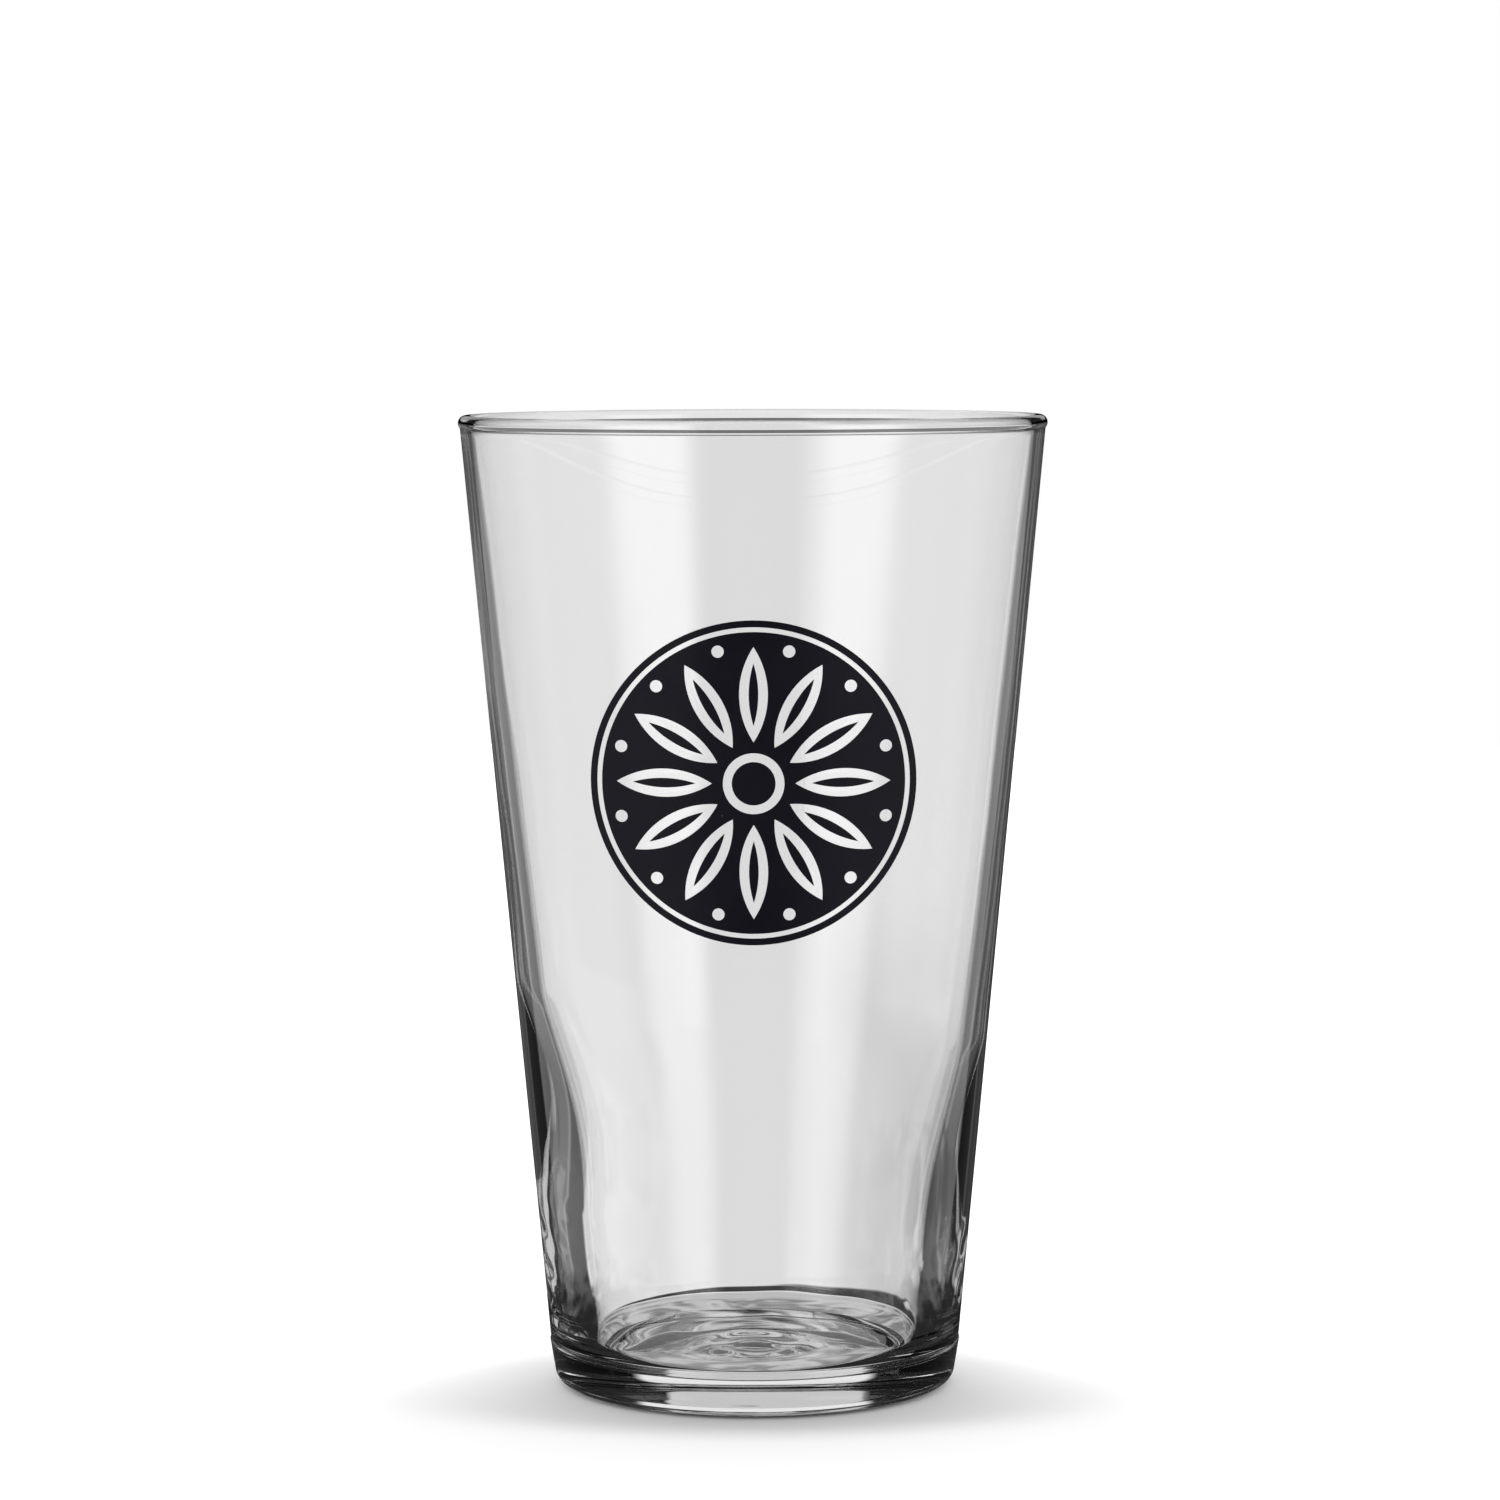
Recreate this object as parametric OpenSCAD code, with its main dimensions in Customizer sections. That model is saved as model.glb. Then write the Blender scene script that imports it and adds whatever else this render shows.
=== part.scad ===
// Conical pint glass: one moulded glass body with a beaded rim, and a round
// single-colour enamel print fired on to its front. Millimetres, +Z up, origin
// at the centre of the foot, print facing -Y.

/* [Body] */
// Overall height, foot to rim
glass_h = 149; // [115:1:170]
// Outside diameter over the bead of the rim
rim_d = 90; // [82:0.5:100]
// Outside diameter where the wall meets the heel band
base_d = 63; // [56:0.1:70]
// Height of the heel band, up to the mould seam
seam_z = 7; // [5.5:0.1:9]
// How far the heel band stands out from the wall at the seam
seam_step = 0.13; // [0.05:0.01:0.4]
// Height of the little slope at the seam
seam_h = 0.4; // [0.2:0.1:0.8]
// Inward lean of the heel band, in degrees
heel_lean = 9.5; // [2:0.1:12]
// Radius of the rounded heel between the band and the foot
heel_r = 2.4; // [2:0.1:4]

/* [Wall] */
// Wall thickness at the rim, measured across
wall_top = 1.85; // [1.4:0.05:2.2]
// Thickness that the wall gains evenly from rim to foot
wall_taper = 2.9; // [0.5:0.1:3.5]
// Extra thickness of the heavy lower wall
heavy_t = 2.5; // [0.5:0.1:3]
// Height where the heavy lower wall starts to swell
heavy_z1 = 66; // [50:1:90]
// Height below which it keeps its full thickness
heavy_z0 = 28; // [20:1:45]

/* [Rim] */
// Radius of the round bead of the rim
bead_r = 1.2; // [1.1:0.05:1.6]
// How far the bead stands out from the wall
bead_out = 0.15; // [0.1:0.05:0.5]
// Radius of the hollow that blends the bead into the wall
neck_r = 1.2; // [0.6:0.1:3]

/* [Base] */
// Height of the inner floor at its edge
floor_z = 6.3; // [5:0.1:12]
// How far the inner floor dips towards its centre
floor_dish = 0.5; // [0.2:0.1:1.5]
// Number of faint rings in the inner floor
ripple_n = 3; // [1:1:5]
// Height of the faint rings
ripple_h = 0.12; // [0.04:0.02:0.2]
// Radius of the corner between inner wall and floor
corner_r = 3.5; // [1.5:0.1:6]
// Width of the flat ring that the glass stands on
ring_w = 1.5; // [1:0.1:8]
// Depth of the hollow under the foot, at its centre
punt_h = 1.2; // [0.4:0.1:2]

/* [Print] */
// Radius of the printed roundel, seen from the front
print_r = 24; // [12:0.1:26]
// Height of the roundel's centre
print_z = 96; // [70:1:110]
// Thickness of the fired enamel
ink_t = 0.1; // [0.06:0.01:0.2]
// Width of the border ring
border_w = 1; // [0.5:0.1:2]
// Clear gap inside the border ring
border_gap = 0.7; // [0.4:0.1:1.5]
// Number of petals in the rosette
petal_n = 12; // [8:1:14]
// Width of a petal
petal_w = 4.2; // [2:0.1:4.6]
// Clear space between a petal's tip and the edge of the printed field
petal_margin = 2.2; // [1:0.1:4]
// Width of the dark seed inside each petal
seed_w = 1.4; // [0.6:0.1:2]
// Clear space between a seed's tip and the petal's tip
seed_margin = 2.4; // [1:0.1:3]
// Radius of the small clear dots between the petals' tips
dot_r = 0.9; // [0.4:0.1:1.1]
// Radius of the solid core of the rosette
core_r = 3.2; // [2:0.1:4]
// Width of the clear ring around the core
core_gap = 1.3; // [0.6:0.1:2]
// Width of the solid ring between the clear ring and the petals
core_ring = 1.6; // [0.8:0.1:2.5]

/* [Hidden] */
$fn = 128;

// Steps along the curves of the glass's outline
heel_steps = 8;
neck_steps = 4;
bead_steps = 16;
wall_steps = 30;
corner_steps = 8;
floor_steps = 36;
punt_steps = 8;

base_r = base_d / 2;
rim_r = rim_d / 2;
// Lean of the outer and the inner wall, as slopes
lean = (rim_r - bead_out - base_r) / (glass_h - seam_z);
lean_in = lean + wall_taper / glass_h;

// Radius of the outer wall at height z
function wall_r(z) = base_r + lean * (z - seam_z);
// An even S from 0 to 1, flat past both ends
function ease(u) = u <= 0 ? 0 : u >= 1 ? 1 : u * u * (3 - 2 * u);
// Wall thickness at height z: an even taper, and the swell of the heavy lower wall
function wall_t(z) =
    wall_top + wall_taper * (1 - z / glass_h) + heavy_t * ease((heavy_z1 - z) / (heavy_z1 - heavy_z0));
// Radius of the inner wall at height z
function inner_r(z) = wall_r(z) - wall_t(z);
// Points on an arc around [r, z], from angle a0 to a1
function arc(r, z, radius, a0, a1, steps) =
    [for (i = [0:steps]) let (a = a0 + (a1 - a0) * i / steps) [r + radius * cos(a), z + radius * sin(a)]];

// Heel: an arc from the foot up into a band that leans outwards and ends at the seam
band_r = base_r + seam_step;
band_z = seam_z - seam_h;
heel_cr = band_r - (band_z - heel_r) * tan(heel_lean) - heel_r / cos(heel_lean);
heel = concat(
    arc(heel_cr, heel_r, heel_r, -90, -heel_lean, heel_steps),
    [[band_r, band_z], [base_r, seam_z]]
);

// Bead, and the hollows that lead from it into the two sides of the wall
bead_z = glass_h - bead_r;
bead_cr = rim_r - bead_r;
// Height of the centre of a hollow that touches the bead, its centre on the line r = k * z + m
function neck_z(k, m) =
    let (
        a = k * k + 1,
        b = k * (m - bead_cr) - bead_z,
        c = pow(m - bead_cr, 2) + bead_z * bead_z - pow(bead_r + neck_r, 2)
    )
    (-b - sqrt(b * b - a * c)) / a;
neck_out_m = wall_r(0) + neck_r / cos(atan(lean));
neck_out_z = neck_z(lean, neck_out_m);
neck_out_r = lean * neck_out_z + neck_out_m;
neck_out_a = atan2(bead_z - neck_out_z, bead_cr - neck_out_r);
neck_in_m = wall_r(0) - wall_top - wall_taper - neck_r / cos(atan(lean_in));
neck_in_z = neck_z(lean_in, neck_in_m);
neck_in_r = lean_in * neck_in_z + neck_in_m;
neck_in_a = atan2(bead_z - neck_in_z, bead_cr - neck_in_r);
neck_out = arc(neck_out_r, neck_out_z, neck_r, 180 - atan(lean), neck_out_a, neck_steps);
bead = arc(bead_cr, bead_z, bead_r, neck_out_a - 180, neck_in_a + 180, bead_steps);
neck_in = arc(neck_in_r, neck_in_z, neck_r, neck_in_a, -atan(lean_in), neck_steps);

// Corner arc: it touches the inner wall and the edge of the floor
corner_z = floor_z + corner_r;
corner_cr = inner_r(corner_z) - corner_r / cos(atan(lean_in));
corner = arc(corner_cr, corner_z, corner_r, -atan(lean_in), -90, corner_steps);

// Inner wall, from below the rim to above the corner
wall_z1 = neck_in[neck_steps][1];
wall_z0 = corner[0][1];
inner_wall = [
    for (i = [1:wall_steps - 1])
        let (z = wall_z1 + (wall_z0 - wall_z1) * i / wall_steps) [inner_r(z), z]
];

// Height of the inner floor, u of the way from the axis to its edge: a bowl with faint rings that die out at the edge
function bowl_z(u) =
    floor_z - floor_dish * (1 - u * u) + ripple_h * (1 - u * u) * cos(360 * ripple_n * u);
floor_bowl = [
    for (i = [1:floor_steps])
        let (u = 1 - i / floor_steps) [corner_cr * u, bowl_z(u)]
];
// Underside: a shallow hollow inside the flat ring
punt_r = heel_cr - ring_w;
punt = [
    for (i = [0:punt_steps])
        let (u = i / punt_steps) [punt_r * u, punt_h * (1 - u * u)]
];

// One moulded piece of clear glass
module glass_body() {
    color([0.86, 0.88, 0.88, 0.4])
        rotate_extrude()
            polygon(concat(punt, heel, neck_out, bead, neck_in, inner_wall, corner, floor_bowl));
}

// Sizes of the rosette, worked inwards from the border ring
field_r = print_r - border_w - border_gap;
petal_r1 = field_r - petal_margin;
petal_r0 = core_r + core_gap + core_ring;
petal_l = petal_r1 - petal_r0;
petal_mid = (petal_r0 + petal_r1) / 2;
seed_l = petal_l - 2 * seed_margin;
dot_ring_r = petal_r1;
// Half the height of the band of wall that the print lies on, and how far the cut-outs reach past it
print_band = print_r + 1;
print_reach = rim_r + 1;

// Leaf shape of length l and width w, pointing along X
module leaf(l, w) {
    side_r = (l * l + w * w) / (4 * w);
    intersection() {
        translate([0, side_r - w / 2]) circle(r = side_r);
        translate([0, w / 2 - side_r]) circle(r = side_r);
    }
}

// Places its child at every petal, r out from the centre and turned by a
module around(r, a = 0) {
    for (i = [0:petal_n - 1]) rotate(90 + a + i * 360 / petal_n) translate([r, 0]) children();
}

// Lays a flat figure on the front of the wall, as a film of enamel
module enamel() {
    z0 = print_z - print_band;
    z1 = print_z + print_band;
    color([0.11, 0.11, 0.15])
        intersection() {
            rotate_extrude()
                polygon([
                    [wall_r(z0), z0],
                    [wall_r(z0) + ink_t, z0],
                    [wall_r(z1) + ink_t, z1],
                    [wall_r(z1), z1]
                ]);
            translate([0, 0, print_z]) rotate([90, 0, 0]) linear_extrude(height = print_reach) children();
        }
}

// Plain ring around the roundel
module print_border() {
    enamel() difference() {
        circle(r = print_r);
        circle(r = print_r - border_w);
    }
}

// Solid disc with the petals, the dots and the ring around the core left clear
module print_field() {
    enamel() difference() {
        circle(r = field_r);
        circle(r = core_r + core_gap);
        around(petal_mid) leaf(petal_l, petal_w);
        around(dot_ring_r, 180 / petal_n) circle(r = dot_r);
    }
}

// A slim leaf inside each petal
module print_seeds() {
    enamel() around(petal_mid) leaf(seed_l, seed_w);
}

// Solid disc at the centre
module print_core() {
    enamel() circle(r = core_r);
}

glass_body();
print_border();
print_field();
print_seeds();
print_core();
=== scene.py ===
"""Looks of a printed pint glass: clear moulded glass with a rosette in fired-on
enamel, on a pale table in a plain studio. Metres, +Z up, print facing -Y."""
import math

import bmesh
import bpy
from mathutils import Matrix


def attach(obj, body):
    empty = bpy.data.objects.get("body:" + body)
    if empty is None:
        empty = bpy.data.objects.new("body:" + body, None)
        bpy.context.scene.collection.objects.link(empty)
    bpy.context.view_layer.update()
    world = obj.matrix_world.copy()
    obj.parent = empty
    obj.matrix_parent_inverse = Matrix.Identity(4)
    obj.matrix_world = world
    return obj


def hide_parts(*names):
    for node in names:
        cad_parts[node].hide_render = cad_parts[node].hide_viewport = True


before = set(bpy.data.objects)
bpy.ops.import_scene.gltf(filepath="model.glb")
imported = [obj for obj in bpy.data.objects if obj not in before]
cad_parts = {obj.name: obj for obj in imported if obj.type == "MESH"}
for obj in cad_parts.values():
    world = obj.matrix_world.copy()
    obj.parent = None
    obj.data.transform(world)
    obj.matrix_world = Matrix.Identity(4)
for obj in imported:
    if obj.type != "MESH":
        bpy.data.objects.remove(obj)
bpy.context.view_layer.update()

MM = 0.001

# Sizes of the glass in millimetres. The rim is a hair inside the solid's facets. The wall, its swell, the
# hollows below the bead and the groove at the seam differ a little from the solid, for the refraction
GLASS_H = 148.99
RIM_R = 44.97
BASE_R = 31.5
SEAM_Z = 7
SEAM_STEP = 0.13
SEAM_H = 0.4
GROOVE_D = 0.12
GROOVE_H = 0.45
HEEL_LEAN = math.radians(9.5)
HEEL_R = 2.4
WALL_TOP = 1.7
WALL_TAPER = 2.9
HEAVY_T = 2.5
HEAVY_Z1 = 58.5
HEAVY_Z0 = 25.5
BEAD_R = 1.2
BEAD_OUT = 0.15
NECK_R = 0.7
FLOOR_Z = 6.3
FLOOR_DISH = 0.5
RIPPLE_N = 3
RIPPLE_H = 0.12
CORNER_R = 3.5
RING_W = 1.5
PUNT_H = 1.2
# The outer wall reaches this far into the enamel, so that no gap is left between the ink and the glass
INK_BOND = 0.03
# Slopes of the outer and the inner wall, and the centre of the bead
LEAN = (RIM_R - BEAD_OUT - BASE_R) / (GLASS_H - SEAM_Z)
LEAN_IN = LEAN + WALL_TAPER / GLASS_H
BEAD_CR = RIM_R - BEAD_R
BEAD_Z = GLASS_H - BEAD_R

# Steps along the curves of the outline and around the axis, and the radius that counts as on the axis
PUNT_STEPS = 24
HEEL_STEPS = 24
BAND_STEPS = 6
OUTER_STEPS = 90
NECK_STEPS = 8
BEAD_STEPS = 20
INNER_STEPS = 150
CORNER_STEPS = 20
FLOOR_STEPS = 90
SEGMENTS = 288
ON_AXIS = 1e-6

# Unevenness of the inside, in millimetres. A pair of heights says where a form has faded out and where
# it is full
FLOOR_TILT = 0.7
TILT_AT = 24
TILT_Z = (30, 12)
FLOOR_LUMP = 0.05
LUMP_Z = (12, 6)
WALL_WAVE = 0.02
WALL_WAVE_Z = (GLASS_H - 6, GLASS_H - 26)
HEAVY_WAVE = 0.02
HEAVY_WAVE_Z = (34, 12)
FLANK_WAVE = 0.04
FLANK_FOOT_Z = (8, 14)
FLANK_TOP_Z = (32, 18)
# Middle and width of the flanks at the left and right, as sines of the angle behind the X axis
FLANK_AT = 0.07
FLANK_W = 0.17
# Waves that climb around the inner wall: share, number around, millimetres of height per radian, start
WALL_WAVES = ((1, 2, 31, 0), (0.7, 5, -17, 1.3))
HEAVY_WAVES = ((0.5, 9, 2.9, 0), (0.4, 14, -2.1, 0.6))
FLANK_WAVES = ((1, 17, 0.9, 0), (0.8, -23, 1.3, 1))
# How far the cavity lies off the axis towards +X, and how much its swell is raised at -X and lowered at +X
CAVITY_OFF = 0.15
CAVITY_OFF_Z = (105, 65)
SWELL_SHIFT = 4.5
# All that moves the inner wall fades out above the floor
WALL_FOOT_Z = (FLOOR_Z + 1, FLOOR_Z + 5)

# Camera, in millimetres and radians, and its focal length in pixels of the 1500-pixel image
IMAGE_PX = 1500
FOCAL_PX = 5241.6
CAMERA_AT = (-0.375, -801.5, 164.916)
CAMERA_DOWN = 0.0838
CAMERA_ROLL = 0.0023
SENSOR_MM = 36
CLIP_END_M = 20


def ease(u):
    """An even S from 0 to 1, flat past both ends."""
    u = min(1, max(0, u))
    return u * u * (3 - 2 * u)


def fade(z, none, full):
    """How much of a form there is at height z, from 0 at height none to 1 at height full."""
    return ease((z - none) / (full - none))


def spaced(start, end, steps):
    """Even steps from start to end, both included."""
    return [start + (end - start) * i / steps for i in range(steps + 1)]


def wall_r(z):
    """Radius of the outer wall at height z."""
    return BASE_R + LEAN * (z - SEAM_Z) + INK_BOND


def swell(z):
    """How much the heavy lower wall adds at height z."""
    return HEAVY_T * fade(z, HEAVY_Z1, HEAVY_Z0)


def wall_t(z):
    """Wall thickness at height z: an even taper, and the swell of the heavy lower wall."""
    return WALL_TOP + WALL_TAPER * (1 - z / GLASS_H) + swell(z)


def inner_r(z):
    """Radius of the inner wall at height z."""
    return wall_r(z) - INK_BOND - wall_t(z)


def arc(r, z, radius, a0, a1, steps):
    """Points on an arc around (r, z), from angle a0 to a1."""
    return [(r + radius * math.cos(a), z + radius * math.sin(a)) for a in spaced(a0, a1, steps)]


def neck(lean, m):
    """Centre of a hollow that touches the bead, on the line r = lean * z + m, and its angle to the bead."""
    a = lean * lean + 1
    b = lean * (m - BEAD_CR) - BEAD_Z
    c = (m - BEAD_CR) ** 2 + BEAD_Z ** 2 - (BEAD_R + NECK_R) ** 2
    z = (-b - math.sqrt(b * b - a * c)) / a
    r = lean * z + m
    return r, z, math.atan2(BEAD_Z - z, BEAD_CR - r)


def outside():
    """Outline of the underside, the heel, the outer wall and the bead, from the axis up to the rim."""
    band_r = BASE_R + SEAM_STEP
    band_z = SEAM_Z - SEAM_H
    heel_cr = band_r - (band_z - HEEL_R) * math.tan(HEEL_LEAN) - HEEL_R / math.cos(HEEL_LEAN)
    punt = [((heel_cr - RING_W) * u, PUNT_H * (1 - u * u)) for u in spaced(0, 1, PUNT_STEPS)]
    heel = arc(heel_cr, HEEL_R, HEEL_R, -math.pi / 2, -HEEL_LEAN, HEEL_STEPS)
    heel_r, heel_z = heel[-1]
    band = list(zip(spaced(heel_r, band_r, BAND_STEPS), spaced(heel_z, band_z, BAND_STEPS)))
    groove = [(wall_r(SEAM_Z) - GROOVE_D, SEAM_Z)]
    tilt = math.atan(LEAN)
    r, z, a = neck(LEAN, wall_r(0) + NECK_R / math.cos(tilt))
    hollow = arc(r, z, NECK_R, math.pi - tilt, a, NECK_STEPS)
    wall = [(wall_r(h), h) for h in spaced(SEAM_Z + GROOVE_H, hollow[0][1], OUTER_STEPS)]
    bead = arc(BEAD_CR, BEAD_Z, BEAD_R, a - math.pi, math.pi / 2, BEAD_STEPS)
    return punt + heel + band[1:] + groove + wall[:-1] + hollow + bead[1:]


def inside():
    """Outline of the inner half of the bead, the inner wall, the corner and the floor, down to the axis."""
    tilt = math.atan(LEAN_IN)
    r, z, a = neck(LEAN_IN, wall_r(0) - INK_BOND - WALL_TOP - WALL_TAPER - NECK_R / math.cos(tilt))
    bead = arc(BEAD_CR, BEAD_Z, BEAD_R, math.pi / 2, a + math.pi, BEAD_STEPS)
    hollow = arc(r, z, NECK_R, a, -tilt, NECK_STEPS)
    corner_z = FLOOR_Z + CORNER_R
    corner_cr = inner_r(corner_z) - CORNER_R / math.cos(tilt)
    corner = arc(corner_cr, corner_z, CORNER_R, -tilt, -math.pi / 2, CORNER_STEPS)
    wall = [(inner_r(h), h) for h in spaced(hollow[-1][1], corner[0][1], INNER_STEPS)]
    bowl = []
    for u in spaced(1, 0, FLOOR_STEPS):
        rings = RIPPLE_H * math.cos(2 * math.pi * RIPPLE_N * u)
        bowl.append((corner_cr * u, FLOOR_Z + (rings - FLOOR_DISH) * (1 - u * u)))
    return bead[1:] + hollow + wall[1:-1] + corner + bowl[1:]


def waves(parts, z, a):
    """The sum of some waves at height z and angle a."""
    return sum(share * math.sin(around * a + z / rise + start) for share, around, rise, start in parts)


def lumps(x, y):
    """An irregular pattern of lumps."""
    lump = math.sin(x / 3.7 + 0.4) * math.sin(y / 5.1 + 1.1) + 0.7 * math.sin((x + 0.6 * y) / 6.3 + 2.0)
    return lump + 0.5 * math.sin((x - 1.3 * y) / 2.9 + 0.8)


def true_point(r, z, a):
    """The point at radius r, height z and angle a."""
    return r * math.cos(a), r * math.sin(a), z


def uneven_point(r, z, a):
    """Where that point lies on the inside of the glass, whose cavity is a little off the axis, with a wavy
    wall, a swell that sits higher at the left, and a tilted and lumpy floor."""
    x, y, _ = true_point(r, z, a)
    flank = math.exp(-((math.sin(a) - FLANK_AT) / FLANK_W) ** 2)
    move = WALL_WAVE * waves(WALL_WAVES, z, a) * fade(z, *WALL_WAVE_Z)
    move += HEAVY_WAVE * waves(HEAVY_WAVES, z, a) * fade(z, *HEAVY_WAVE_Z)
    move += FLANK_WAVE * waves(FLANK_WAVES, z, a) * flank * fade(z, *FLANK_FOOT_Z) * fade(z, *FLANK_TOP_Z)
    move += swell(z) - swell(z + SWELL_SHIFT * math.cos(a))
    wall = fade(z, *WALL_FOOT_Z)
    off = CAVITY_OFF * fade(z, *CAVITY_OFF_Z) * wall
    rise = FLOOR_TILT * y / TILT_AT * fade(z, *TILT_Z) + FLOOR_LUMP * lumps(x, y) * fade(z, *LUMP_Z)
    x, y, z = true_point(r + move * wall, z + rise, a)
    return x + off, y, z


def glass_mesh():
    """The glass as one closed skin of rings around the axis."""
    outline = [(r, z, true_point) for r, z in outside()] + [(r, z, uneven_point) for r, z in inside()]
    bm = bmesh.new()
    rings = []
    for r, z, place in outline:
        if r < ON_AXIS:
            rings.append([bm.verts.new((0, 0, place(0, z, 0)[2] * MM))])
            continue
        points = [place(r, z, 2 * math.pi * i / SEGMENTS) for i in range(SEGMENTS)]
        rings.append([bm.verts.new([c * MM for c in point]) for point in points])
    for low, high in zip(rings, rings[1:]):
        for i in range(SEGMENTS):
            j = (i + 1) % SEGMENTS
            corners = [low[i % len(low)], low[j % len(low)], high[j % len(high)], high[i % len(high)]]
            bm.faces.new(list(dict.fromkeys(corners)))
    bmesh.ops.recalc_face_normals(bm, faces=bm.faces)
    mesh = bpy.data.meshes.new("glass")
    bm.to_mesh(mesh)
    bm.free()
    mesh.shade_smooth()
    return mesh


class Nodes:
    """A node tree with short ways to make and join its nodes."""

    def __init__(self, tree):
        self.tree = tree
        tree.nodes.clear()

    def add(self, kind, inputs=(), **settings):
        """A node with its settings, and values or links on its inputs by name or number."""
        made = self.tree.nodes.new(kind)
        for name, value in settings.items():
            setattr(made, name, value)
        for name, value in dict(inputs).items():
            self.put(made.inputs[name], value)
        return made

    def put(self, socket, value):
        """Links an output to a socket, or sets the socket to a value."""
        if isinstance(value, bpy.types.NodeSocket):
            self.tree.links.new(value, socket)
        else:
            socket.default_value = value

    def math(self, operation, a, b=0.0, c=0.0):
        return self.add("ShaderNodeMath", {0: a, 1: b, 2: c}, operation=operation).outputs[0]

    def times(self, first, *others):
        """The product of some values."""
        for other in others:
            first = self.math("MULTIPLY", first, other)
        return first

    def over(self, value, limit):
        """1 where value is over limit, and 0 elsewhere."""
        return self.math("GREATER_THAN", value, limit)

    def rest(self, share):
        """What is left of 1 beside a share."""
        return self.math("SUBTRACT", 1.0, share)

    def ramp(self, value, start, end, low=0.0, high=1.0):
        """A smooth step from low at start to high at end."""
        return self.add("ShaderNodeMapRange", {0: value, 1: start, 2: end, 3: low, 4: high},
                        interpolation_type="SMOOTHSTEP").outputs[0]

    def vector(self, operation, a, b=(0, 0, 0), c=(0, 0, 0)):
        return self.add("ShaderNodeVectorMath", {0: a, 1: b, 2: c}, operation=operation).outputs["Vector"]

    def length(self, vector):
        return self.add("ShaderNodeVectorMath", {0: vector}, operation="LENGTH").outputs["Value"]

    def noise(self, place, scale, detail, distortion=0.0):
        return self.add("ShaderNodeTexNoise", {
            "Vector": place, "Scale": scale, "Detail": detail, "Distortion": distortion}).outputs["Fac"]

    def bump(self, height, strength, distance):
        return self.add("ShaderNodeBump", {
            "Strength": strength, "Distance": distance, "Height": height}).outputs["Normal"]

    def mix(self, factor, a, b):
        """A mix of two numbers."""
        return self.add("ShaderNodeMix", {0: factor, 2: a, 3: b}, data_type="FLOAT").outputs[0]

    def blend(self, factor, a, b):
        """A mix of two colours."""
        return self.add("ShaderNodeMix", {0: factor, 6: a, 7: b}, data_type="RGBA").outputs[2]

    def either(self, factor, a, b):
        """A mix of two shaders."""
        return self.add("ShaderNodeMixShader", {0: factor, 1: a, 2: b}).outputs[0]

    def glow(self, colour):
        return self.add("ShaderNodeEmission", {"Color": colour}).outputs[0]

    def clear(self):
        return self.add("ShaderNodeBsdfTransparent").outputs[0]


def material(name):
    """A new material and its nodes."""
    made = bpy.data.materials.new(name)
    made.use_nodes = True
    return made, Nodes(made.node_tree)


# Glass: its range of tints, and the most roughness that its haze has
GLASS_TINTS = ((0.978, 0.979, 0.979, 1), (0.99, 0.99, 0.99, 1))
HAZE = 0.02
# Ink: its range of tones, the tone of its pinholes, its range of roughness and the grain in that
INK_TONES = ((0.004, 0.0036, 0.0078, 1), (0.0072, 0.0064, 0.0138, 1))
PINHOLE_TONE = (0.06, 0.06, 0.07, 1)
PINHOLE_EDGE = (0.02, 0.07)
PINHOLE_CLOUD = (0.58, 0.62)
SATIN = (0.34, 0.46)
SATIN_GRAIN = 0.03


def glass_material():
    """Clear fire-polished glass, with a faint drift in its tint, a trace of haze and a faintly wavy skin."""
    made, n = material("clear_glass")
    place = n.add("ShaderNodeTexCoord").outputs["Object"]
    drift = n.noise(place, 14.0, 2.0)
    haze = n.noise(place, 55.0, 4.0)
    wave = n.noise(place, 40.0, 1.0)
    shader = n.add("ShaderNodeBsdfPrincipled", {
        "Base Color": n.blend(drift, *GLASS_TINTS), "Roughness": n.ramp(haze, 0.5, 0.9, 0.0, HAZE),
        "Normal": n.bump(wave, 0.05, 0.001), "IOR": 1.52, "Transmission Weight": 1.0})
    n.add("ShaderNodeOutputMaterial", {"Surface": shader.outputs[0]})
    return made


def enamel_material():
    """Dark fired ink with a satin gloss: a clouded tone, a fine printed grain and a few pinholes."""
    made, n = material("enamel")
    place = n.add("ShaderNodeTexCoord").outputs["Object"]
    cloud = n.noise(place, 90.0, 5.0)
    grain = n.noise(place, 2600.0, 2.0)
    cells = n.add("ShaderNodeTexVoronoi", {"Vector": place, "Scale": 420.0}).outputs["Distance"]
    hole = n.times(n.ramp(cells, *PINHOLE_EDGE, 1.0, 0.0), n.ramp(cloud, *PINHOLE_CLOUD))
    ink = n.blend(hole, n.blend(cloud, *INK_TONES), PINHOLE_TONE)
    rough = n.math("ADD", n.ramp(cloud, 0.3, 0.7, *SATIN), n.ramp(grain, 0.3, 0.7, -SATIN_GRAIN, SATIN_GRAIN))
    shader = n.add("ShaderNodeBsdfPrincipled", {
        "Base Color": ink, "Roughness": rough, "Normal": n.bump(grain, 0.12, 0.0001),
        "IOR": 1.5, "Specular IOR Level": 0.15})
    n.add("ShaderNodeOutputMaterial", {"Surface": shader.outputs[0]})
    return made


# Brightness of the studio, where 1 is white: the light on the table and the ink, what reaches them by way of
# the glass, and what the glass shows of the backdrop, the space beyond its flags, and the lights
AMBIENT = 1.0
BY_GLASS = 0.0
BACKDROP = 0.86
SURROUND = 0.8
PANEL = 0.6
SOFTBOX = 1.42
TOP_LIGHT = 0.7
CEILING = 0.02
CARD = 0.18
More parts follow.
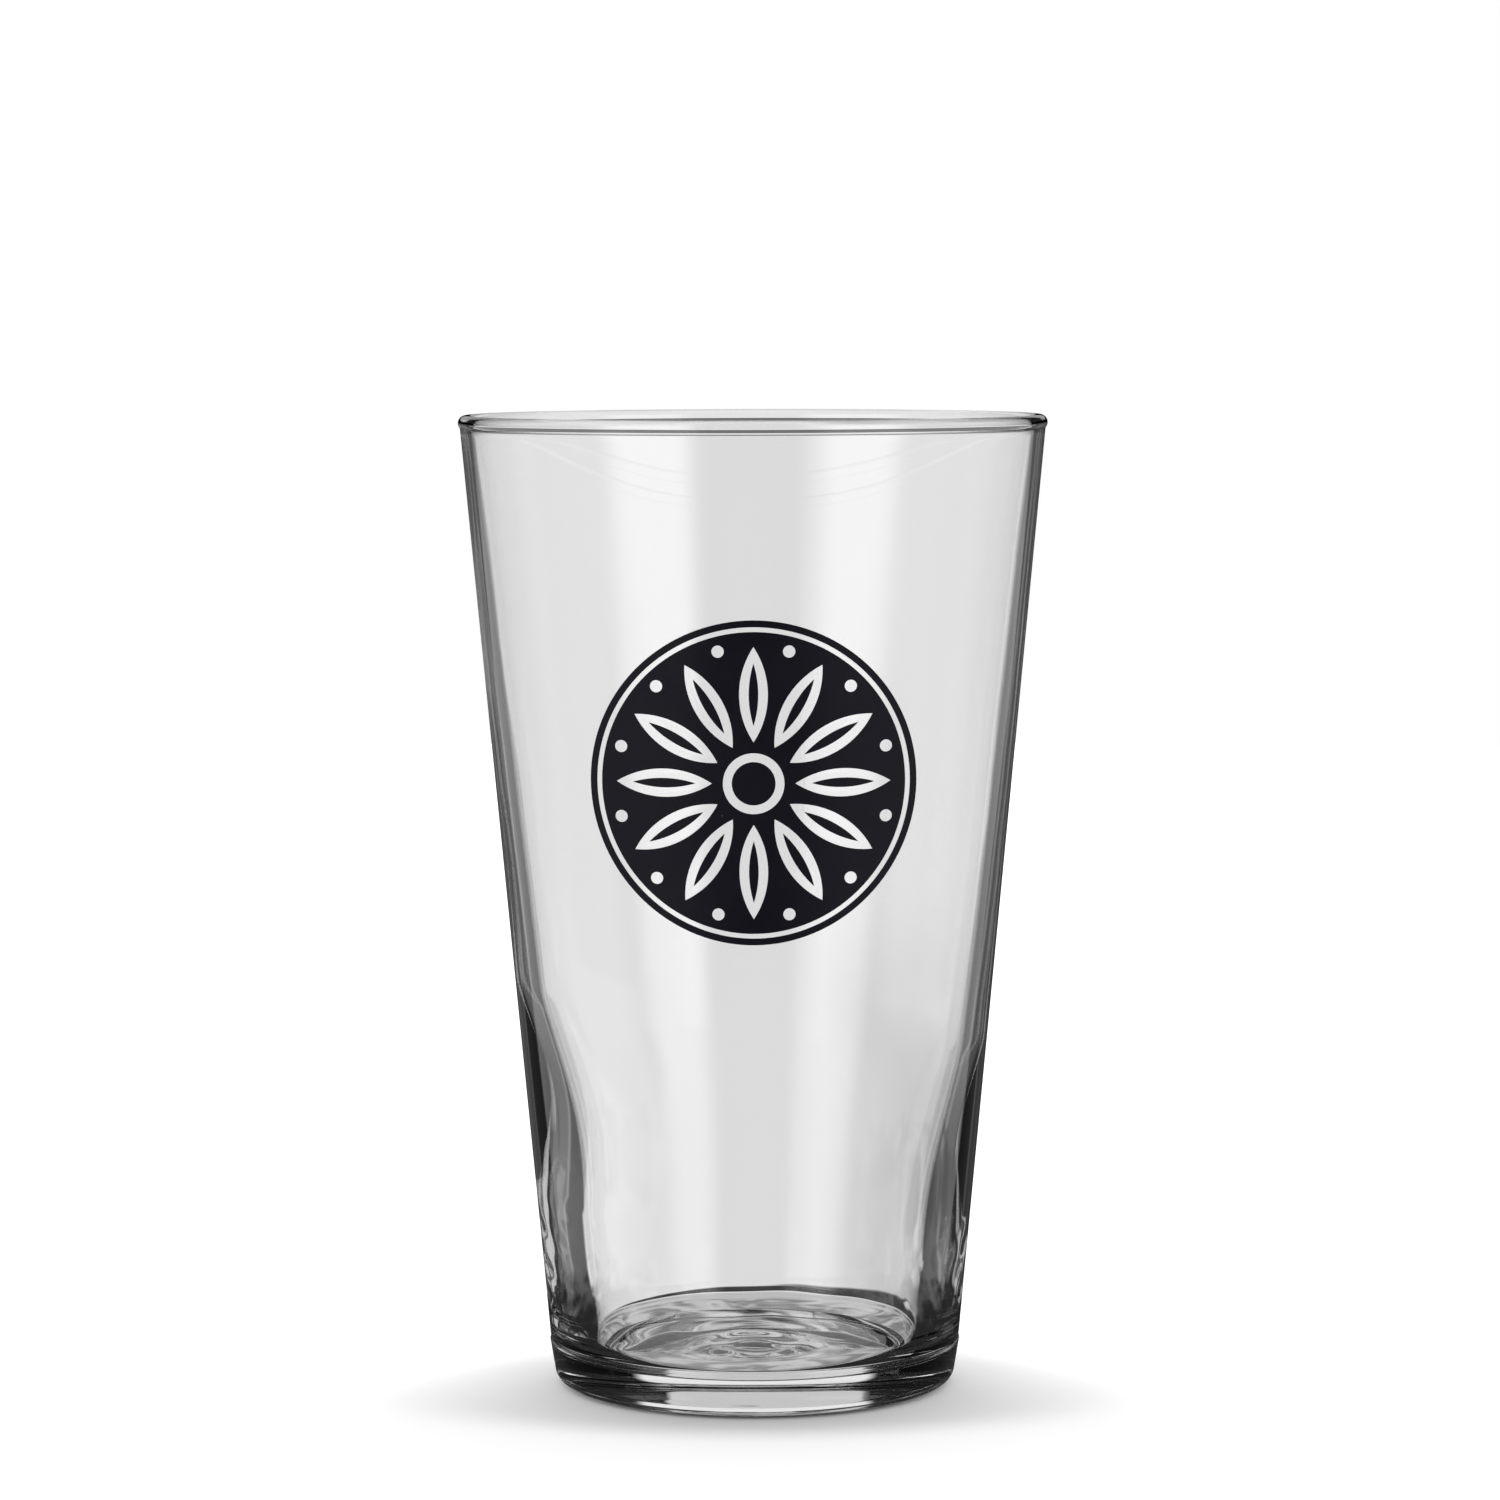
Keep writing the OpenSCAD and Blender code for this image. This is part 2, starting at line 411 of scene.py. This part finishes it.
# Brightness of the table's glow in the glass, which is painted light and shade: the marbled painted caustic
# light under the foot, the painted lit ring around that, both of these where fewer than two walls are
# crossed, the dark strip past the ring, and two painted shades mirrored near the foot
UNDER_FOOT = (0.24, 0.63)
RING_LIGHT = 0.6
IN_MOUTH = 0.7
FOOT_SHADE = 0.05
SHADE_NEAR_FOOT = 0.02
SHADE_CLOSE_BY = 0.05

# Counts of passed surfaces above which a ray is through one wall, and through two. In the thin edges of the
# glass it has passed about the first of THIN, give or take the second
ONE_WALL = 1.5
TWO_WALLS = 3.5
THIN = (2.0, 1.2)

# The table and its gap below the foot, in metres. Pairs are distances from the axis between which it changes
TABLE_R = 1.2
TABLE_GAP = 0.0002
# The table's white, darkened by a painted shadow towards the foot: distances from the axis, and the tone at
# the foot and beyond
PAINTED_SHADOW_R = (0.03, 0.05)
PAINTED_SHADOW_TO_WHITE = (0.83, 0.98)
# Lightening of the shadow for the camera: outside an oval around the foot, and towards the back
LIFT_SCALE = (1, 1.7, 1)
LIFT_SHIFT = (0, 0.012, 0)
LIFT_R = (0.044, 0.068)
LIFT = 0.2
LIFT_BACK_Y = (-0.035, 0.02)
LIFT_BACK = 0.3
# Through the glass, painted in the table's glow: the marbled caustic light, the lit ring, the gap around it,
# and a painted shade that dims the table at the right
CAUSTIC_SCALE = 90.0
CAUSTIC_EDGE = (0.35, 0.65)
CAUSTIC_R = (0.039, 0.043)
GAP_R0 = (0.047, 0.050)
GAP_R1 = (0.071, 0.075)
GAP_SCALE = (1.3, 1, 1)
DIM = 0.3
DIM_X = (0.012, 0.045)
DIM_R = (0.6, 0.1)
# In reflections: the lit middle, the shade near the foot, and the uneven edge past which the room shows
MIDDLE_R = (0.025, 0.02)
CLOSE_R = (0.06, 0.045)
EDGE_R = (0.095, 0.118)
EDGE_SCALE = 90.0
EDGE_UNEVEN = 0.06

# The dark card around the set, in metres
CARD_R = 0.25
CARD_Z0 = 0.170
CARD_Z1 = 0.265

# Directions in the room, in degrees: azimuth from +Y towards +X, or from -Y for the softboxes, and pitch
# upwards. Pairs are angles between which something sets in or dies out
DEGREE = 180 / math.pi
# Azimuth of the flags' outer edges, which changes with the pitch: degrees for each degree, start, limits
FLAG_SLOPE = -2.1
FLAG_START = 19.3
FLAG_MIN = 34.0
FLAG_MAX = 57.0
# The backdrop and the flags below the horizon: (share of that azimuth, brightness)
LOW_ROOM = ((-1, 0.07), (-0.76, 0.07), (-0.73, 0.09), (-0.7, 0.3), (-0.66, 0.16), (-0.36, 0.15),
            (-0.31, 0.02), (-0.23, 0.02), (-0.2, 0.8), (-0.04, 0.8), (0, 0.04), (0.1, 0.04), (0.13, 0.6),
            (0.2, 0.6), (0.24, 0.02), (0.34, 0.02), (0.4, 0.1), (0.64, 0.11), (0.7, 0.27), (0.75, 0.08),
            (1, 0.06))
LOW_TOP = (1.0, -3.0)
LOW_FOOT = (-48.0, -40.0)
# The lit panel above the horizon: (azimuth, brightness). It shows once more low down, between two pitches
HIGH_ROOM = ((-24.2, 0.012), (-23, PANEL), (17, PANEL), (18.2, 0.012))
HIGH_FOOT = (3.5, 6.5)
LOWER_TOP = (-24.0, -28.0)
LOWER_FOOT = (-60.0, -50.0)
# The space beyond the flags: measured from their outer edge, below a pitch and up to an azimuth
BEYOND_EDGE = (-1.0, 1.5)
BEYOND_TOP = (-3.0, -6.0)
BEYOND_END = (125.0, 105.0)
# The softboxes: inner edges, an outer edge that changes with the pitch, and lower and upper ends
SOFT_LEFT = (17, 29)
SOFT_RIGHT = (23, 35)
SOFT_SLOPE = 2.9
SOFT_START = 107.0
SOFT_MAX = 72.0
SOFT_OUTER = (0.0, -15.0)
SOFT_FOOT = (-24.0, -21.0)
SOFT_DIM = (-22.0, -16.0, 0.6, 1.0)
SOFT_TOP = (36.0, 30.0)
# The dark ceiling with the light in it, and the sparkles there for rays that the glass mirrors many times
CEILING_FROM = (38.0, 44.0)
TOP_FROM = (66, 72)
SPARKLE = (0.04, 0.8)
SPARKLE_EDGE = (0.42, 0.58)
SPARKLE_SCALE = 3.0
MANY_TIMES = 2.5
# Where the plain backdrop shows through a single wall, and the dark strip across its foot
AHEAD = (27.0, 23.0)
AHEAD_LOW = (0.0, -3.0)
STRIP_FOOT = (-17.0, -15.5)
STRIP_TOP = (-7.0, -8.5)
STRIP_SIDE = (50.0, 40.0)

# Light that is caught in the heavy base goes black with fewer bounces
GLOSSY_BOUNCES = 8


def seen_rays(n):
    """Light Path, whether a ray shows something through or in a surface, and whether it was reflected."""
    path = n.add("ShaderNodeLightPath").outputs
    shows = n.math("MAXIMUM", path["Is Glossy Ray"], path["Is Transmission Ray"])
    return path, shows, n.over(path["Glossy Depth"], 0.5)


def stage(name, bm, surface, z):
    """An object of the set, at height z, from a mesh and its material."""
    mesh = bpy.data.meshes.new(name)
    bm.to_mesh(mesh)
    bm.free()
    mesh.materials.append(surface)
    made = bpy.data.objects.new(name, mesh)
    made.location.z = z
    bpy.context.scene.collection.objects.link(made)


def table_top(n, path, spot, across, away):
    """The table itself: white, with a painted shadow that darkens it a little at the foot, its shadow
    lightened for the camera.
    """
    oval = n.length(n.vector("MULTIPLY_ADD", spot, LIFT_SCALE, LIFT_SHIFT))
    lift = n.math("ADD", n.ramp(oval, *LIFT_R, 0.0, LIFT), n.ramp(across[1], *LIFT_BACK_Y, 0.0, LIFT_BACK))
    return n.add("ShaderNodeBsdfPrincipled", {
        "Base Color": n.ramp(away, *PAINTED_SHADOW_R, *PAINTED_SHADOW_TO_WHITE), "Roughness": 1.0, "Specular IOR Level": 0.0,
        "Emission Color": (1, 1, 1, 1), "Emission Strength": n.times(path["Is Camera Ray"], lift)}).outputs[0]


def table_through(n, path, spot, across, away):
    """The table through the glass glows with painted light and shade: as bright as the backdrop, and dimmed
    at the right by painted shade. Under the foot it shows marbled painted caustic light, with a painted lit
    ring around that, and a gap around the ring lets the backdrop's dark strip show."""
    caustic_light = n.ramp(n.noise(spot, CAUSTIC_SCALE, 1.0, 2.0), *CAUSTIC_EDGE, *UNDER_FOOT)
    foot = n.mix(n.ramp(away, *CAUSTIC_R), caustic_light, RING_LIGHT)
    foot = n.mix(n.math("LESS_THAN", path["Transmission Depth"], TWO_WALLS), foot, IN_MOUTH)
    dim = n.times(n.ramp(across[0], *DIM_X), n.ramp(away, *DIM_R))
    field = n.math("MULTIPLY_ADD", dim, -DIM * BACKDROP, BACKDROP)
    outer = n.ramp(n.length(n.vector("MULTIPLY", spot, GAP_SCALE)), *GAP_R1)
    gap = n.times(n.ramp(away, *GAP_R0), n.rest(outer))
    return n.either(gap, n.glow(n.mix(outer, foot, field)), n.clear())


def table_mirrored(n, path, spot, away):
    """The table in reflections glows with painted shade near the foot and painted light under its middle, and
    is clear past an uneven edge.
    """
    outside_only = n.math("LESS_THAN", path["Transmission Depth"], 0.5)
    close = n.times(outside_only, n.ramp(away, *CLOSE_R))
    shade = n.mix(n.ramp(away, *MIDDLE_R), n.mix(close, SHADE_NEAR_FOOT, SHADE_CLOSE_BY), IN_MOUTH)
    edge = n.math("MULTIPLY_ADD", n.noise(spot, EDGE_SCALE, 1.0), EDGE_UNEVEN, away)
    return n.either(n.ramp(edge, *EDGE_R), n.glow(shade), n.clear())


def table():
    """A pale table top, which glows with painted light and shade where it is seen through the glass or
    mirrored in it.
    """
    made, n = material("table")
    path, shows, reflected = seen_rays(n)
    spot = n.add("ShaderNodeNewGeometry").outputs["Position"]
    across = n.add("ShaderNodeSeparateXYZ", {0: spot}).outputs
    away = n.length(spot)
    in_glass = n.either(
        reflected, table_through(n, path, spot, across, away), table_mirrored(n, path, spot, away))
    surface = n.either(shows, table_top(n, path, spot, across, away), in_glass)
    n.add("ShaderNodeOutputMaterial", {"Surface": surface})
    bm = bmesh.new()
    bmesh.ops.create_circle(bm, cap_ends=True, segments=96, radius=TABLE_R)
    stage("table", bm, made, -TABLE_GAP)


def card():
    """A dark band around the set, above the backdrop, that shows only in the thin edges of the glass."""
    made, n = material("card")
    path, _, reflected = seen_rays(n)
    thin = n.times(n.math("COMPARE", path["Transmission Depth"], *THIN), n.rest(reflected))
    surface = n.either(thin, n.clear(), n.glow((CARD, CARD, CARD, 1)))
    n.add("ShaderNodeOutputMaterial", {"Surface": surface})
    bm = bmesh.new()
    bmesh.ops.create_cone(bm, segments=64, radius1=CARD_R, radius2=CARD_R, depth=CARD_Z1 - CARD_Z0)
    stage("card", bm, made, (CARD_Z0 + CARD_Z1) / 2)


def stepped(n, value, span, stops):
    """Brightness along a value from -span to span, from its stops."""
    ramp = n.add("ShaderNodeValToRGB", {0: n.math("MULTIPLY_ADD", value, 0.5 / span, 0.5)})
    points = ramp.color_ramp.elements
    while len(points) < len(stops):
        points.new(0.5)
    for point, (place, level) in zip(points, stops):
        point.position = place * 0.5 / span + 0.5
        point.color = (level, level, level, 1)
    return ramp.outputs["Color"]


def room_behind(n, azimuth, aside, pitch):
    """The backdrop between two dark flags that widen downwards, the lit panel, and the space beyond them."""
    flag = n.math("MAXIMUM", n.math("MULTIPLY_ADD", pitch, FLAG_SLOPE, FLAG_START), FLAG_MIN)
    flag = n.math("MINIMUM", flag, FLAG_MAX)
    low = stepped(n, n.math("DIVIDE", azimuth, flag), 1, LOW_ROOM)
    low = n.times(low, n.ramp(pitch, *LOW_TOP), n.ramp(pitch, *LOW_FOOT))
    lower = n.times(n.ramp(pitch, *LOWER_TOP), n.ramp(pitch, *LOWER_FOOT))
    high = n.times(stepped(n, azimuth, 180, HIGH_ROOM), n.math("ADD", n.ramp(pitch, *HIGH_FOOT), lower))
    beyond = n.ramp(n.math("SUBTRACT", aside, flag), *BEYOND_EDGE)
    beyond = n.times(beyond, n.ramp(pitch, *BEYOND_TOP), n.ramp(aside, *BEYOND_END))
    return n.mix(beyond, n.math("MAXIMUM", low, high), SURROUND)


def softboxes(n, front, pitch):
    """How much of a softbox there is in a direction, with one at each side in front."""
    inner = n.math("ADD", n.ramp(n.math("MULTIPLY", front, -1.0), *SOFT_LEFT), n.ramp(front, *SOFT_RIGHT))
    limit = n.math("MINIMUM", n.math("MULTIPLY_ADD", pitch, SOFT_SLOPE, SOFT_START), SOFT_MAX)
    outer = n.ramp(n.math("SUBTRACT", n.math("ABSOLUTE", front), limit), *SOFT_OUTER)
    ends = n.times(n.ramp(pitch, *SOFT_DIM), n.ramp(pitch, *SOFT_FOOT), n.ramp(pitch, *SOFT_TOP))
    return n.times(inner, outer, ends)


def studio():
    """White backdrop and even light. What the glass mirrors is that backdrop between two dark flags, with a
    lit panel above the horizon, a softbox at each side in front, and a light in a dark ceiling. What shows
    through the glass is the plain backdrop, with a dark strip low down where two walls are crossed."""
    world = bpy.data.worlds.new("studio")
    world.use_nodes = True
    bpy.context.scene.world = world
    n = Nodes(world.node_tree)
    path, shows, reflected = seen_rays(n)
    way = n.add("ShaderNodeTexCoord").outputs["Generated"]
    x, y, z = n.add("ShaderNodeSeparateXYZ", {0: way}).outputs
    azimuth = n.math("MULTIPLY", n.math("ARCTAN2", x, y), DEGREE)
    front = n.math("MULTIPLY", n.math("ARCTAN2", x, n.math("MULTIPLY", y, -1.0)), DEGREE)
    pitch = n.math("MULTIPLY", n.math("ARCSINE", z), DEGREE)
    aside = n.math("ABSOLUTE", azimuth)
    crossed = n.over(path["Transmission Depth"], TWO_WALLS)

    room = n.mix(softboxes(n, front, pitch), room_behind(n, azimuth, aside, pitch), SOFTBOX)
    above = n.ramp(pitch, *CEILING_FROM)
    room = n.mix(above, room, CEILING)
    room = n.mix(n.ramp(pitch, *TOP_FROM), room, TOP_LIGHT)
    sparkle = n.ramp(n.noise(way, SPARKLE_SCALE, 1.0, 1.0), *SPARKLE_EDGE, *SPARKLE)
    room = n.mix(n.times(n.over(path["Glossy Depth"], MANY_TIMES), above, crossed), room, sparkle)

    ahead = n.math("MAXIMUM", n.ramp(aside, *AHEAD), n.ramp(pitch, *AHEAD_LOW))
    ahead = n.times(n.over(path["Transmission Depth"], ONE_WALL), ahead)
    through = n.times(n.math("MAXIMUM", crossed, ahead), n.rest(reflected))
    strip = n.times(n.ramp(pitch, *STRIP_FOOT), n.ramp(pitch, *STRIP_TOP))
    strip = n.times(strip, n.ramp(aside, *STRIP_SIDE), crossed)
    shown = n.mix(through, room, n.mix(strip, BACKDROP, FOOT_SHADE))

    shown = n.mix(n.over(path["Diffuse Depth"], 0.5), shown, BY_GLASS)
    light = n.mix(path["Is Camera Ray"], n.mix(shows, AMBIENT, shown), 1.0)
    sky = n.add("ShaderNodeBackground", {"Color": light})
    n.add("ShaderNodeOutputWorld", {"Surface": sky.outputs[0]})


def camera():
    """The photograph's camera."""
    data = bpy.data.cameras.new("camera")
    data.sensor_width = SENSOR_MM
    data.lens = FOCAL_PX / IMAGE_PX * SENSOR_MM
    data.clip_end = CLIP_END_M
    made = bpy.data.objects.new("camera", data)
    made.location = [c * MM for c in CAMERA_AT]
    made.rotation_euler = (math.pi / 2 - CAMERA_DOWN, CAMERA_ROLL, 0)
    bpy.context.scene.collection.objects.link(made)
    bpy.context.scene.camera = made


camera()
studio()
table()
card()

glass = bpy.data.objects.new("glass", glass_mesh())
glass.data.materials.append(glass_material())
bpy.context.scene.collection.objects.link(glass)
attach(glass, "root")
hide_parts("glass_body")

enamel = enamel_material()
for name in ("print_border", "print_field", "print_seeds", "print_core"):
    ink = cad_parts[name]
    ink.data.materials.clear()
    ink.data.materials.append(enamel)

bpy.context.scene.view_settings.view_transform = "Standard"
bpy.context.scene.cycles.glossy_bounces = GLOSSY_BOUNCES
